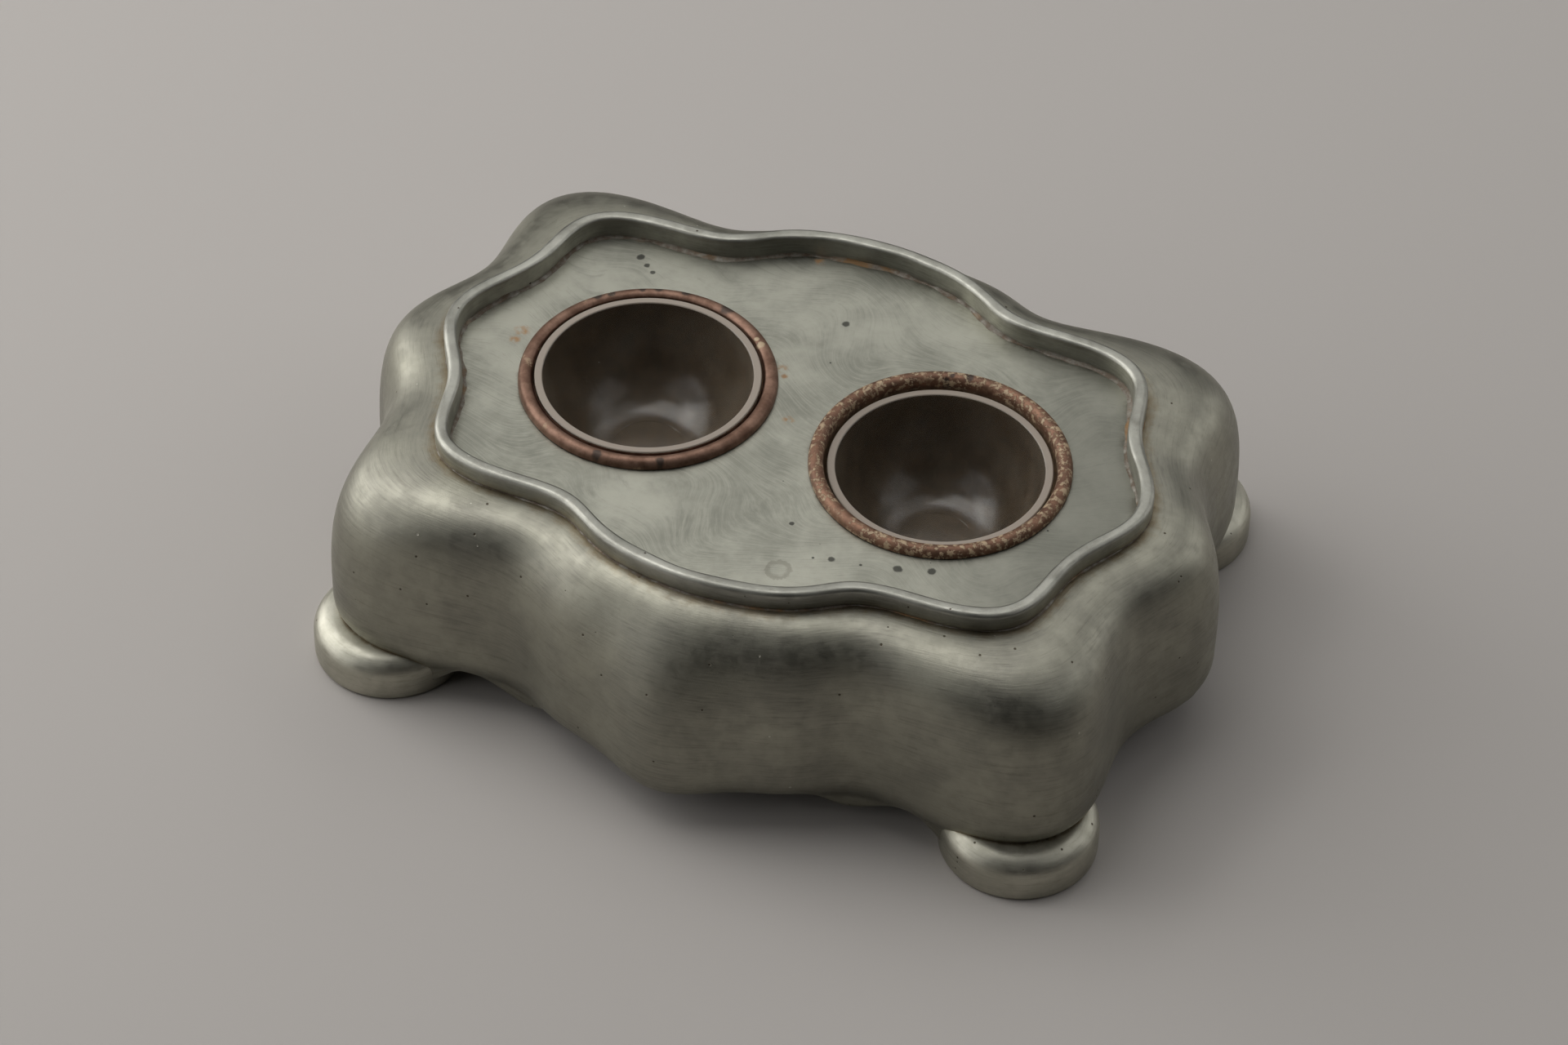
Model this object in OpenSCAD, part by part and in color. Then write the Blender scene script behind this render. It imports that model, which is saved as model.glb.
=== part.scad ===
// Desk inkstand: a lobed, hollow cast body on four toe-shaped feet, a raised rim round a flat deck,
// and two copper cups that hang in the deck, each with a glass ink bowl in it.
// The origin is on the table, below the middle of the body. +X is to the right, +Z is up.

/* [Overall size] */
// Length of the inkstand, from end to end
length = 207.4; // [190:0.1:225]
// Depth of the inkstand, from front to back
width = 162.6; // [150:0.1:178]
// Height of the inkstand, to the top of the rim
height = 58.8; // [55:0.1:64]

/* [Rim outline] */
// Distance from the body's ends in to the rim
rim_setback_x = 17.8; // [16:0.1:20]
// Distance from the body's front and back in to the rim
rim_setback_y = 20.6; // [18:0.1:23]
// Mean radius of the rim's edge, before it is fitted to its length and depth
rim_mean = 70.6; // [67:0.1:78]
// Twofold wave of the rim's edge, which makes it longer than deep
rim_wave_2 = 13.2; // [10:0.1:16]
// Fourfold wave of the rim's edge
rim_wave_4 = 1.6; // [0:0.1:3]
// Sixfold wave of the rim's edge
rim_wave_6 = -2.9; // [-4:0.1:0]
// Tenfold wave of the rim's edge
rim_wave_10 = 2.3; // [0:0.1:3]
// Twelvefold wave of the rim's edge
rim_wave_12 = 1.1; // [0:0.1:2]

/* [Rim collar] */
// Width of the rim across its top
rim_width = 3.3; // [2.5:0.1:4.5]
// Height of the rim's outer wall above the body
rim_wall = 5.2; // [4:0.1:7]
// Rounding of the rim's top edges
rim_round = 1.2; // [0.6:0.1:1.2]
// How far the rim's outer wall draws in at its foot
rim_draft = 0.5; // [0:0.1:1]
// Solder gap between the rim and the body
solder_gap = 0.1; // [0.05:0.05:0.2]

/* [Body outline] */
// Mean radius of the body's outline, before it is fitted to the length and depth
body_mean = 90.5; // [88:0.1:95]
// Twofold wave of the body's outline, which makes it longer than deep
body_wave_2 = 14.5; // [11:0.1:17]
// Fourfold wave of the body's outline
body_wave_4 = -2.2; // [-4:0.1:0]
// Sixfold wave of the body's outline
body_wave_6 = -6.3; // [-8:0.1:-4]
// Eightfold wave of the body's outline, one for each lobe
body_wave_8 = 2.5; // [1:0.1:4]
// Tenfold wave of the body's outline
body_wave_10 = 3.5; // [1:0.1:5]
// Twelvefold wave of the body's outline
body_wave_12 = 1.2; // [0:0.1:2.5]
// Fourteenfold wave of the body's outline
body_wave_14 = -0.5; // [-1.5:0.1:0.5]
// Sixteenfold wave of the body's outline, which narrows its valleys
body_wave_16 = 0.5; // [-0.5:0.1:1.5]

/* [Body shell] */
// Thickness of the cast wall
wall = 3; // [2:0.1:4]
// Height of the body's open bottom edge above the table, in the arches between its low places
edge_level = 10.3; // [9:0.1:11.5]
// Height at which the body is widest
widest_level = 15; // [13:0.1:18]
// Height at which the wall has drawn in fully on its way down
tuck_level = 8; // [7:0.1:9]
// Fullness of the shoulder at the ends and corners, where 2 is a quarter ellipse
shoulder_full = 3.3; // [2.5:0.1:3.6]
// Fullness of the shoulder on the two long sides
shoulder_soft = 1.9; // [1.7:0.1:2.4]
// How far the wall draws in on the ends and long sides
edge_tuck = 2.1; // [0.5:0.1:3]
// How far the wall draws in under a corner's lobe
corner_tuck = 6.1; // [4:0.1:7]
// Angle from the middle of an end to a corner's lobe
corner_lobe = 33.5; // [31:0.5:36]
// Angle over which the wall stands out again beside it
tuck_width = 10; // [8:0.5:12]
// How far the bottom edge hangs lower at the middle of an end
end_drop = 3.8; // [0:0.1:5]
// Angle over which it rises again there
end_drop_width = 13; // [10:0.5:15]
// How far it hangs lower at the middle of a long side
side_drop = 1.6; // [0:0.1:3]
// Angle over which it rises again there
side_drop_width = 32; // [20:1:36]
// How far it hangs lower in the valley between a corner's lobe and a long side's middle
valley_drop = 6.5; // [3:0.1:7]
// Angle from the middle of an end to that valley
valley_angle = 57.5; // [55:0.5:60]
// Angle over which it rises again there
valley_drop_width = 9.5; // [7:0.5:11]
// Width of the ledge inside the rim that carries the deck
ledge_width = 4; // [3:0.1:5]
// Thickness of that ledge
ledge_thickness = 2.5; // [2:0.1:4]

/* [Feet] */
// Angle from the middle of an end to the place of a foot under the body's outline
foot_angle = 38.4; // [37:0.1:40]
// Distance of a foot's centre in from that outline
foot_inset = 11.7; // [11:0.1:13]
// Radius of a foot
foot_radius = 18; // [17:0.1:20]
// Height of a foot
foot_height = 11; // [10:0.1:12]
// Rounding of a foot's upper edge
foot_round = 5; // [3:0.1:6]
// Rounding of a foot's lower edge
foot_toe = 1; // [0.5:0.1:2]
// Gap round a foot in the wall that it is fixed to, which the solder fills
foot_joint = 0.2; // [0.1:0.05:0.3]
// Height at which the wall ends beside a foot
leg_end = 3; // [2:0.1:5]
// Length over which the edge rises from there to the arch
leg_slope = 7; // [4:0.5:9]

/* [Deck] */
// Depth of the deck below the top of the rim
deck_depth = 6; // [5:0.1:8]
// Thickness of the deck
deck_thickness = 2; // [1.5:0.1:3]
// Gap round the deck, which the solder fills
deck_gap = 0.3; // [0.2:0.05:0.5]
// Distance between the centres of the two wells
well_spacing = 72; // [68:0.5:76]

/* [Copper cups] */
// Radius of a cup's flange
flange_radius = 30; // [29.5:0.1:31.5]
// Height of a flange above the deck
flange_height = 2.1; // [1.5:0.1:3]
// Thickness of the copper sheet
copper = 0.8; // [0.6:0.1:1.2]
// Room between a cup and the edge of its hole in the deck
cup_clearance = 0.3; // [0.2:0.05:0.5]
// Gap between a loose piece and what it rests on
rest_gap = 0.2; // [0.1:0.05:0.3]

/* [Glass bowls] */
// Outer radius of the left bowl
left_radius = 26.2; // [25.5:0.1:26.8]
// Outer radius of the right bowl
right_radius = 25.7; // [25:0.1:26.8]
// Room between the left bowl and its cup
glass_clearance = 0.35; // [0.3:0.05:0.6]
// Depth of the left bowl's ground rim below the top of its flange
left_drop = 0.3; // [0:0.1:1.5]
// Depth of the right bowl's ground rim below the top of its flange
right_drop = 2.6; // [1.5:0.1:3.5]
// Width of a bowl's ground rim
glass_wall = 1.9; // [1.5:0.1:2.5]
// Depth inside a bowl
glass_depth = 23; // [20:0.5:25]
// Thickness of a bowl's bottom
glass_bottom = 2.6; // [2:0.1:4]
// Radius of the small flat inside a bowl's bottom
glass_flat = 8.5; // [6:0.5:10]

/* [Hidden] */
$fn = 96;

pewter = "#8c8c83";
pewter_dark = "#7d7d75";
copper_colour = "#8f5f4b";
glass_colour = "#b9bdb2";

// Points round an outline
around = 180;
// Steps up the outer shoulder, the inner shoulder and the drawn-in bottom edge
outer_steps = 11;
inner_steps = 6;
tuck_steps = 4;
// How strongly the bottom edge curves in
tuck_power = 2.2;
// How closely the soft shoulder keeps to the middle of the long sides
side_power = 8;
// Steps along the quarter curve of a bowl, and along a rounded edge
bowl_steps = 16;
round_steps = 5;

// Degrees in a whole turn, and from one point of an outline to the next
whole_turn = 360;
pitch = whole_turn / around;

deck_top = height - deck_depth;
ledge_top = deck_top - deck_thickness;
groove_level = height - rim_wall;
flange_top = deck_top + rest_gap + flange_height;
cup_inner = max(left_radius, right_radius) + glass_clearance;
cup_outer = cup_inner + copper;
bore_radius = cup_outer + cup_clearance;
// How far outside the rim the inner shoulder ends, so that the wall stays even
inner_reach = 2;

// A wave of an outline's radius at an angle, and its slope per radian
function wave(size, count, angle) = size * cos(count * angle);
function wave_slope(size, count, angle) = -count * size * sin(count * angle);

function rim_radius(a) = rim_mean + wave(rim_wave_2, 2, a) + wave(rim_wave_4, 4, a)
    + wave(rim_wave_6, 6, a) + wave(rim_wave_10, 10, a) + wave(rim_wave_12, 12, a);
function rim_slope(a) = wave_slope(rim_wave_2, 2, a) + wave_slope(rim_wave_4, 4, a)
    + wave_slope(rim_wave_6, 6, a) + wave_slope(rim_wave_10, 10, a) + wave_slope(rim_wave_12, 12, a);

function body_radius(a) = body_mean + wave(body_wave_2, 2, a) + wave(body_wave_4, 4, a)
    + wave(body_wave_6, 6, a) + wave(body_wave_8, 8, a) + wave(body_wave_10, 10, a)
    + wave(body_wave_12, 12, a) + wave(body_wave_14, 14, a) + wave(body_wave_16, 16, a);
function body_slope(a) = wave_slope(body_wave_2, 2, a) + wave_slope(body_wave_4, 4, a)
    + wave_slope(body_wave_6, 6, a) + wave_slope(body_wave_8, 8, a) + wave_slope(body_wave_10, 10, a)
    + wave_slope(body_wave_12, 12, a) + wave_slope(body_wave_14, 14, a)
    + wave_slope(body_wave_16, 16, a);

// How far each outline has to be stretched along X and Y to reach its length and depth
function fit(radii, half_size) = [
    half_size[0] / max([for (i = [0 : around - 1]) radii[i] * cos(i * pitch)]),
    half_size[1] / max([for (i = [0 : around - 1]) radii[i] * sin(i * pitch)])];
body_fit = fit([for (i = [0 : around - 1]) body_radius(i * pitch)], [length, width] / 2);
rim_fit = fit([for (i = [0 : around - 1]) rim_radius(i * pitch)],
    [length / 2 - rim_setback_x, width / 2 - rim_setback_y]);

// The point of a stretched outline at an angle, moved in square to the outline
function inset_point(radius, slope, stretch, a, inset) =
    let (edge = [stretch[0] * radius * cos(a), stretch[1] * radius * sin(a)],
        along = [stretch[0] * (slope * cos(a) - radius * sin(a)),
            stretch[1] * (slope * sin(a) + radius * cos(a))])
    edge - inset * [along[1], -along[0]] / norm(along);
function rim_point(a, inset) = inset_point(rim_radius(a), rim_slope(a), rim_fit, a, inset);
function body_point(a, inset) = inset_point(body_radius(a), body_slope(a), body_fit, a, inset);

// Distances of a foot's centre from the middle, along the length and the depth
foot_place = body_point(foot_angle, foot_inset);

function blend(from, to, share) = from + (to - from) * share;
function smooth(x) = let (c = min(max(x, 0), 1)) c * c * (3 - 2 * c);
function at_level(p, z) = [p[0], p[1], z];

// Fullness of the shoulder at an angle
function fullness(a) = blend(shoulder_full, shoulder_soft, pow(abs(sin(a)), side_power));
// Share of a change at an angle that is full at another angle
function near(a, middle, width) = smooth(1 - abs(asin(abs(sin(a))) - middle) / width);
// How far the wall draws in at an angle
function tuck(a) = blend(edge_tuck, corner_tuck, near(a, corner_lobe, tuck_width));
// Height of the bottom edge: it hangs lower in places and comes down beside the feet
function edge_height(a) =
    let (p = body_point(a, tuck(a)),
        from_foot = norm([abs(p[0]) - foot_place[0], abs(p[1]) - foot_place[1]]),
        drop = end_drop * near(a, 0, end_drop_width) + side_drop * near(a, 90, side_drop_width)
            + valley_drop * near(a, valley_angle, valley_drop_width))
    blend(leg_end, edge_level - drop, smooth((from_foot - foot_radius) / leg_slope));

// A point of the wall between the bottom edge (share 0) and the widest level (share 1)
function lower_point(a, inset, share) =
    let (z = blend(edge_height(a), widest_level, share),
        below = min((widest_level - z) / (widest_level - tuck_level), 1))
    at_level(body_point(a, inset + tuck(a) * pow(below, tuck_power)), z);
// A point of the shoulder between the widest level (turn 0) and its top (turn 90)
function shoulder_point(a, inset, top_inset, top_level, turn) =
    let (power = 2 / fullness(a))
    at_level(blend(rim_point(a, top_inset), body_point(a, inset), pow(cos(turn), power)),
        blend(widest_level, top_level, pow(sin(turn), power)));

// The wall's closed section at an angle, up the outside and down the inside
function shell_section(a) = concat(
    [for (i = [0 : tuck_steps - 1]) lower_point(a, 0, i / tuck_steps)],
    [for (i = [0 : outer_steps])
        shoulder_point(a, 0, rim_draft - solder_gap, groove_level, 90 * i / outer_steps)],
    [at_level(rim_point(a, rim_draft - solder_gap), ledge_top),
        at_level(rim_point(a, rim_width + ledge_width), ledge_top),
        at_level(rim_point(a, rim_width + ledge_width), ledge_top - ledge_thickness)],
    [for (i = [inner_steps : -1 : 0])
        shoulder_point(a, wall, -inner_reach, ledge_top - ledge_thickness, 90 * i / inner_steps)],
    [for (i = [tuck_steps - 1 : -1 : 0]) lower_point(a, wall, i / tuck_steps)]);

// The rim's closed section at an angle, up the outside and down the inside
function collar_section(a) = [for (p = [
    [rim_draft, ledge_top],
    [rim_draft, groove_level],
    [0, groove_level + rim_draft],
    [0, height - rim_round],
    [rim_round * (1 - cos(45)), height - rim_round * (1 - sin(45))],
    [rim_round, height],
    [rim_width - rim_round, height],
    [rim_width - rim_round * (1 - cos(45)), height - rim_round * (1 - sin(45))],
    [rim_width, height - rim_round],
    [rim_width, ledge_top]]) at_level(rim_point(a, p[0]), p[1])];

// A closed ring through sections that all have the same number of points
module section_ring(sections) {
    rings = len(sections);
    sides = len(sections[0]);
    polyhedron(
        points = [for (section = sections, p = section) p],
        faces = [for (i = [0 : rings - 1], j = [0 : sides - 1])
            let (next = (i + 1) % rings, up = (j + 1) % sides)
            [i * sides + j, i * sides + up, next * sides + up, next * sides + j]],
        convexity = 8);
}

// Points of a rounded edge's section, from one angle to another
function edge_arc(centre, radius, from, to) = [for (i = [0 : round_steps])
    let (turn = blend(from, to, i / round_steps)) centre + radius * [cos(turn), sin(turn)]];
// Points down a bowl's section, from its upright wall to the flat of its bottom
function bowl_curve(radius, flat, top, depth) = [for (i = [0 : bowl_steps])
    let (turn = 90 * i / bowl_steps)
    [flat + (radius - flat) * cos(turn), top - depth * sin(turn)]];
function reversed(points) = [for (i = [len(points) - 1 : -1 : 0]) points[i]];

module body_shell() {
    color(pewter)
        difference() {
            section_ring([for (i = [0 : around - 1]) shell_section(i * pitch)]);
            for (side = [-1, 1], front = [-1, 1])
                at_foot(side, front)
                    foot_form(foot_joint);
        }
}

module rim_collar() {
    color(pewter_dark)
        section_ring([for (i = [0 : around - 1]) collar_section(i * pitch)]);
}

module deck_plate() {
    color(pewter_dark)
        translate([0, 0, ledge_top])
            difference() {
                linear_extrude(deck_thickness)
                    polygon([for (i = [0 : around - 1]) rim_point(i * pitch, rim_width + deck_gap)]);
                for (side = [-1, 1])
                    translate([side * well_spacing / 2, 0, -1])
                        cylinder(r = bore_radius, h = deck_thickness + 2);
            }
}

module at_foot(side, front) {
    translate([side * foot_place[0], front * foot_place[1], 0])
        children();
}

// A foot's round form, grown all round by some room
module foot_form(room) {
    rotate_extrude()
        polygon(concat(
            [[0, -room]],
            edge_arc([foot_radius - foot_toe, foot_toe], foot_toe + room, -90, 0),
            edge_arc([foot_radius - foot_round, foot_height - foot_round], foot_round + room, 0, 90),
            [[0, foot_height + room]]));
}

module foot(side, front) {
    color(pewter)
        at_foot(side, front)
            foot_form(0);
}

module cup(side, drop) {
    bowl_top = flange_top - drop;
    bowl_depth = glass_depth + glass_bottom + rest_gap;
    flange_base = flange_top - flange_height;
    half = (flange_radius - cup_inner) / 2;
    color(copper_colour)
        translate([side * well_spacing / 2, 0, 0])
            rotate_extrude()
                polygon(concat(
                    [[0, bowl_top - bowl_depth - copper]],
                    reversed(bowl_curve(cup_outer, glass_flat + glass_wall, bowl_top, bowl_depth + copper)),
                    [[cup_outer, flange_base]],
                    [for (i = [0 : bowl_steps])
                        let (turn = 180 * i / bowl_steps)
                        [cup_inner + half * (1 + cos(turn)), flange_base + flange_height * sin(turn)]],
                    bowl_curve(cup_inner, glass_flat + glass_wall, bowl_top, bowl_depth),
                    [[0, bowl_top - bowl_depth]]));
}

module glass(side, radius, drop) {
    top = flange_top - drop;
    color(glass_colour, 0.5)
        translate([side * well_spacing / 2, 0, 0])
            rotate_extrude()
                polygon(concat(
                    [[0, top - glass_depth - glass_bottom]],
                    reversed(bowl_curve(radius, glass_flat + glass_wall, top, glass_depth + glass_bottom)),
                    bowl_curve(radius - glass_wall, glass_flat, top, glass_depth),
                    [[0, top - glass_depth]]));
}

module front_left_foot() { foot(-1, -1); }
module front_right_foot() { foot(1, -1); }
module back_left_foot() { foot(-1, 1); }
module back_right_foot() { foot(1, 1); }
module left_cup() { cup(-1, left_drop); }
module right_cup() { cup(1, right_drop); }
module left_glass() { glass(-1, left_radius, left_drop); }
module right_glass() { glass(1, right_radius, right_drop); }

body_shell();
rim_collar();
deck_plate();
front_left_foot();
front_right_foot();
back_left_foot();
back_right_foot();
left_cup();
right_cup();
left_glass();
right_glass();
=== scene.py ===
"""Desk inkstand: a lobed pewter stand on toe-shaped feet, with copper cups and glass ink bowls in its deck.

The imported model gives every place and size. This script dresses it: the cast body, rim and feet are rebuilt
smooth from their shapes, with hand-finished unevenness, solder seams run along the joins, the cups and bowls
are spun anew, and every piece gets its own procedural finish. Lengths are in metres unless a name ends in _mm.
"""
import logging
import math
from dataclasses import dataclass, field
from enum import Enum
from typing import Callable, Iterable, Optional, Sequence, Union

import bmesh
import bpy
from mathutils import Matrix, Vector, noise


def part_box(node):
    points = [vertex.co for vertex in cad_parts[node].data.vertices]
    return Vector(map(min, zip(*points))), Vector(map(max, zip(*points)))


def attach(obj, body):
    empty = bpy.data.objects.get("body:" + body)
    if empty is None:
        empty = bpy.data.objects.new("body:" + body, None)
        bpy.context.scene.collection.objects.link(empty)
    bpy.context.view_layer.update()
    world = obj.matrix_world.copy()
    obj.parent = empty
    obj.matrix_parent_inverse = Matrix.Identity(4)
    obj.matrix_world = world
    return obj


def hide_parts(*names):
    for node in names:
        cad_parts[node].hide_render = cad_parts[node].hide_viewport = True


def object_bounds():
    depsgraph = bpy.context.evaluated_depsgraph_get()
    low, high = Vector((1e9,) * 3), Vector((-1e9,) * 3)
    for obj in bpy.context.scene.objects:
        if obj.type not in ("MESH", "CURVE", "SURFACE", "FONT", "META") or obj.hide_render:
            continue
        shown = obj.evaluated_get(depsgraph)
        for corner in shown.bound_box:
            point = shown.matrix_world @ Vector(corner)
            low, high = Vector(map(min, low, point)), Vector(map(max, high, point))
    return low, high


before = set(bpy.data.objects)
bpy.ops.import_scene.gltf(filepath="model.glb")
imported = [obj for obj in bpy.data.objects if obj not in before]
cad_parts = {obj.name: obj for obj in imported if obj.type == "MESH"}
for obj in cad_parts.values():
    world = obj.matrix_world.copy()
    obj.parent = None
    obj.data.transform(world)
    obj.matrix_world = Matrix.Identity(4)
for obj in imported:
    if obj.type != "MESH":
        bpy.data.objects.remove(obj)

CAD_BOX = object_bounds()
MM = 0.001
LOG = logging.getLogger("inkstand")

Socket = bpy.types.NodeSocket
Setting = Union[Socket, float, int, bool, str, Sequence[float]]


class Side(Enum):
    """The two wells, by the side of the stand that they are on."""

    LEFT = "left"
    RIGHT = "right"


class Body(Enum):
    """The CAD bodies that pieces ride on."""

    STAND = "stand"
    LEFT_CUP = "left_cup"
    RIGHT_CUP = "right_cup"
    LEFT_GLASS = "left_glass"
    RIGHT_GLASS = "right_glass"


def linear(hex_colour: str, alpha: float = 1.0) -> tuple[float, float, float, float]:
    """Turns an sRGB hex colour into the linear colour that a shader takes.

    Args:
        hex_colour: Six hex digits after a hash.
        alpha: The fourth value of the colour.

    Returns:
        Red, green, blue and alpha, linear.
    """
    values = [int(hex_colour[i:i + 2], 16) / 255 for i in (1, 3, 5)]
    red, green, blue = (v / 12.92 if v <= 0.04045 else ((v + 0.055) / 1.055) ** 2.4 for v in values)
    return red, green, blue, alpha


def per_metre(size_mm: float) -> float:
    """Gives a texture's scale from the real size of its grain, in millimetres."""
    return 1.0 / (size_mm * MM)


def add_node(tree: bpy.types.NodeTree, kind: str, inputs: Optional[dict[Union[str, int], Setting]] = None,
             **settings: Setting) -> bpy.types.Node:
    """Adds a node with its settings, and sets or links its inputs.

    Args:
        tree: The node tree that gets the node.
        kind: The node's type, without the word ShaderNode.
        inputs: Input names or numbers, with a value or the socket that feeds them.
        **settings: The node's own properties.

    Returns:
        The new node.
    """
    made = tree.nodes.new("ShaderNode" + kind)
    for name, value in settings.items():
        setattr(made, name, value)
    for key, value in (inputs or {}).items():
        if isinstance(value, bpy.types.NodeSocket):
            tree.links.new(value, made.inputs[key])
        else:
            made.inputs[key].default_value = value
    return made


class Surface:
    """A material under construction: its tree, its main shader and the patterns that finishes share."""

    def __init__(self, name: str) -> None:
        """Starts a material with an empty tree.

        Args:
            name: The material's name.
        """
        self.material = bpy.data.materials.new(name)
        self.material.use_nodes = True
        self.tree = self.material.node_tree
        self.tree.nodes.clear()
        self.output = self.add("OutputMaterial")
        self.shader = self.add("BsdfPrincipled")
        self.tree.links.new(self.shader.outputs[0], self.output.inputs["Surface"])
        self.place = self.add("TexCoord").outputs["Object"]

    def add(self, kind: str, inputs: Optional[dict[Union[str, int], Setting]] = None,
            **settings: Setting) -> bpy.types.Node:
        """Adds a node to this material, as add_node does."""
        return add_node(self.tree, kind, inputs, **settings)

    def step(self, value: Socket, low: float, high: float, start: float = 0.0, end: float = 1.0) -> Socket:
        """Turns a range of a value into a smooth step.

        Args:
            value: What is stepped.
            low: Where the step starts.
            high: Where it ends.
            start: The result at and below low.
            end: The result at and above high.

        Returns:
            The stepped value.
        """
        return self.add("MapRange", {"Value": value, "From Min": low, "From Max": high, "To Min": start,
                                     "To Max": end}, interpolation_type="SMOOTHSTEP").outputs["Result"]

    def combine(self, how: str, first: Setting, second: Setting) -> Socket:
        """Works out one number from two, by the name of a Math operation."""
        return self.add("Math", {0: first, 1: second}, operation=how, use_clamp=how != "POWER").outputs[0]

    def tint(self, share: Setting, below: Setting, above: Setting, blend: str = "MIX") -> Socket:
        """Lays one colour over another by a share."""
        return self.add("Mix", {0: share, 6: below, 7: above}, data_type="RGBA", blend_type=blend).outputs[2]

    def cloud(self, size_mm: float, detail: float = 4.0, roughness: float = 0.55,
              stretch: tuple[float, float, float] = (1, 1, 1), turn: float = 0.0) -> Socket:
        """Gives soft random variation of a real size.

        Args:
            size_mm: The size of one patch.
            detail: How many finer layers are added.
            roughness: The strength of the finer layers.
            stretch: How much denser the pattern is along each axis.
            turn: The turn of the pattern about the vertical, in radians.

        Returns:
            The variation, from 0 to 1.
        """
        place = self.place
        if stretch != (1, 1, 1) or turn:
            place = self.add("Mapping", {"Vector": place, "Scale": stretch,
                                         "Rotation": (0, 0, turn)}).outputs[0]
        return self.add("TexNoise", {"Vector": place, "Scale": per_metre(size_mm), "Detail": detail,
                                     "Roughness": roughness}).outputs[0]

    def specks(self, spacing_mm: float, size_mm: float, kept: float, softness: float = 0.35) -> Socket:
        """Scatters round specks, of which only a share is kept.

        Args:
            spacing_mm: The mean distance between the places of specks.
            size_mm: The radius of a speck.
            kept: The share of the places that has one.
            softness: The share of a speck that is its soft edge.

        Returns:
            1 in a speck and 0 outside.
        """
        cells = self.add("TexVoronoi", {"Vector": self.place, "Scale": per_metre(spacing_mm)})
        radius = size_mm / spacing_mm
        inside = self.step(cells.outputs["Distance"], radius * (1 - softness), radius, 1.0, 0.0)
        chosen = self.add("SeparateColor", {0: cells.outputs["Color"]}).outputs[0]
        return self.combine("MULTIPLY", inside, self.combine("LESS_THAN", chosen, kept))

    def marks_at(self, places: Iterable[tuple[float, float, float]], softness: float = 0.4) -> Socket:
        """Draws a round mark at each of some places seen from above.

        Args:
            places: Each mark's x, y and radius, in millimetres.
            softness: The share of a mark that is its soft edge.

        Returns:
            1 in a mark and 0 outside.
        """
        flat = self.add("VectorMath", {0: self.place, 1: (1, 1, 0)}, operation="MULTIPLY").outputs[0]
        ragged = self.add("Math", {0: self.cloud(1.2, 3), 1: 0.5}, operation="SUBTRACT").outputs[0]
        marks: Setting = 0.0
        for x, y, radius in places:
            away = self.add("VectorMath", {0: flat, 1: (x * MM, y * MM, 0)}, operation="DISTANCE").outputs["Value"]
            edge = self.add("Math", {0: ragged, 1: 0.7 * radius * MM, 2: away}, operation="MULTIPLY_ADD").outputs[0]
            mark = self.step(edge, radius * (1 - softness) * MM, radius * MM, 1.0, 0.0)
            marks = self.combine("MAXIMUM", mark, marks)
        return marks

    def crevice_dirt_and_shade(self, reach_mm: float) -> Socket:
        """Gives 1 deep in corners and joins and 0 in the open, from ambient occlusion; a colour laid by it is dirt
        and painted shade together.
        """
        open_share = self.add("AmbientOcclusion", {"Distance": reach_mm * MM}, samples=8).outputs["AO"]
        return self.step(open_share, 0.35, 0.92, 1.0, 0.0)

    def bump(self, layers: Iterable[tuple[Socket, float]]) -> None:
        """Raises the surface by several layers.

        Args:
            layers: A height from 0 to 1 for each layer, and what 1 is in millimetres.
        """
        normal: Optional[Socket] = None
        for height, depth_mm in layers:
            inputs: dict[Union[str, int], Setting] = {"Height": height, "Distance": depth_mm * MM}
            if normal is not None:
                inputs["Normal"] = normal
            normal = self.add("Bump", inputs).outputs[0]
        if normal is not None:
            self.tree.links.new(normal, self.shader.inputs["Normal"])

    def feed(self, **sockets: Setting) -> None:
        """Sets or links inputs of the main shader, by their names with _ for a space."""
        for name, value in sockets.items():
            target = self.shader.inputs[name.replace("_", " ")]
            if isinstance(value, bpy.types.NodeSocket):
                self.tree.links.new(value, target)
            else:
                target.default_value = value


# ---------------------------------------------------------------------------------------------------------
# Shapes that pieces share
# ---------------------------------------------------------------------------------------------------------

@dataclass(frozen=True)
class Outline:
    """A closed, waved outline round the middle of the stand, in millimetres.

    It is a circle with waves on it, and is the same on the left and right and on the front and back.
    """

    mean: float
    waves: tuple[tuple[int, float], ...]

    def radius(self, angle: float) -> float:
        """Gives the distance from the middle at an angle in radians."""
        return self.mean + sum(size * math.cos(count * angle) for count, size in self.waves)

    def slope(self, angle: float) -> float:
        """Gives how fast that distance grows per radian."""
        return -sum(count * size * math.sin(count * angle) for count, size in self.waves)

    def point(self, angle: float, inset: float) -> Vector:
        """Gives the outline's point at an angle, moved in square to the outline.

        Args:
            angle: The angle from +X, in radians.
            inset: How far the point moves in.

        Returns:
            The point, at height 0.
        """
        radius, slope = self.radius(angle), self.slope(angle)
        along_x = slope * math.cos(angle) - radius * math.sin(angle)
        along_y = slope * math.sin(angle) + radius * math.cos(angle)
        length = math.hypot(along_x, along_y)
        return Vector((radius * math.cos(angle) - inset * along_y / length,
                       radius * math.sin(angle) + inset * along_x / length, 0.0))


RIM_OUTLINE = Outline(70.6, ((2, 13.2), (4, 1.6), (6, -2.9), (10, 2.3), (12, 1.1)))
BODY_OUTLINE = Outline(90.5, ((2, 14.5), (4, -2.2), (6, -6.3), (8, 2.5), (10, 3.5), (12, 1.2), (14, -0.5),
                              (16, 0.5)))


def mix(start: float, end: float, share: float) -> float:
    """Gives the value at a share of the way from one value to another."""
    return start + (end - start) * share


def smooth(value: float) -> float:
    """Turns 0 to 1 into a soft step."""
    clipped = min(max(value, 0.0), 1.0)
    return clipped * clipped * (3 - 2 * clipped)


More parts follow.
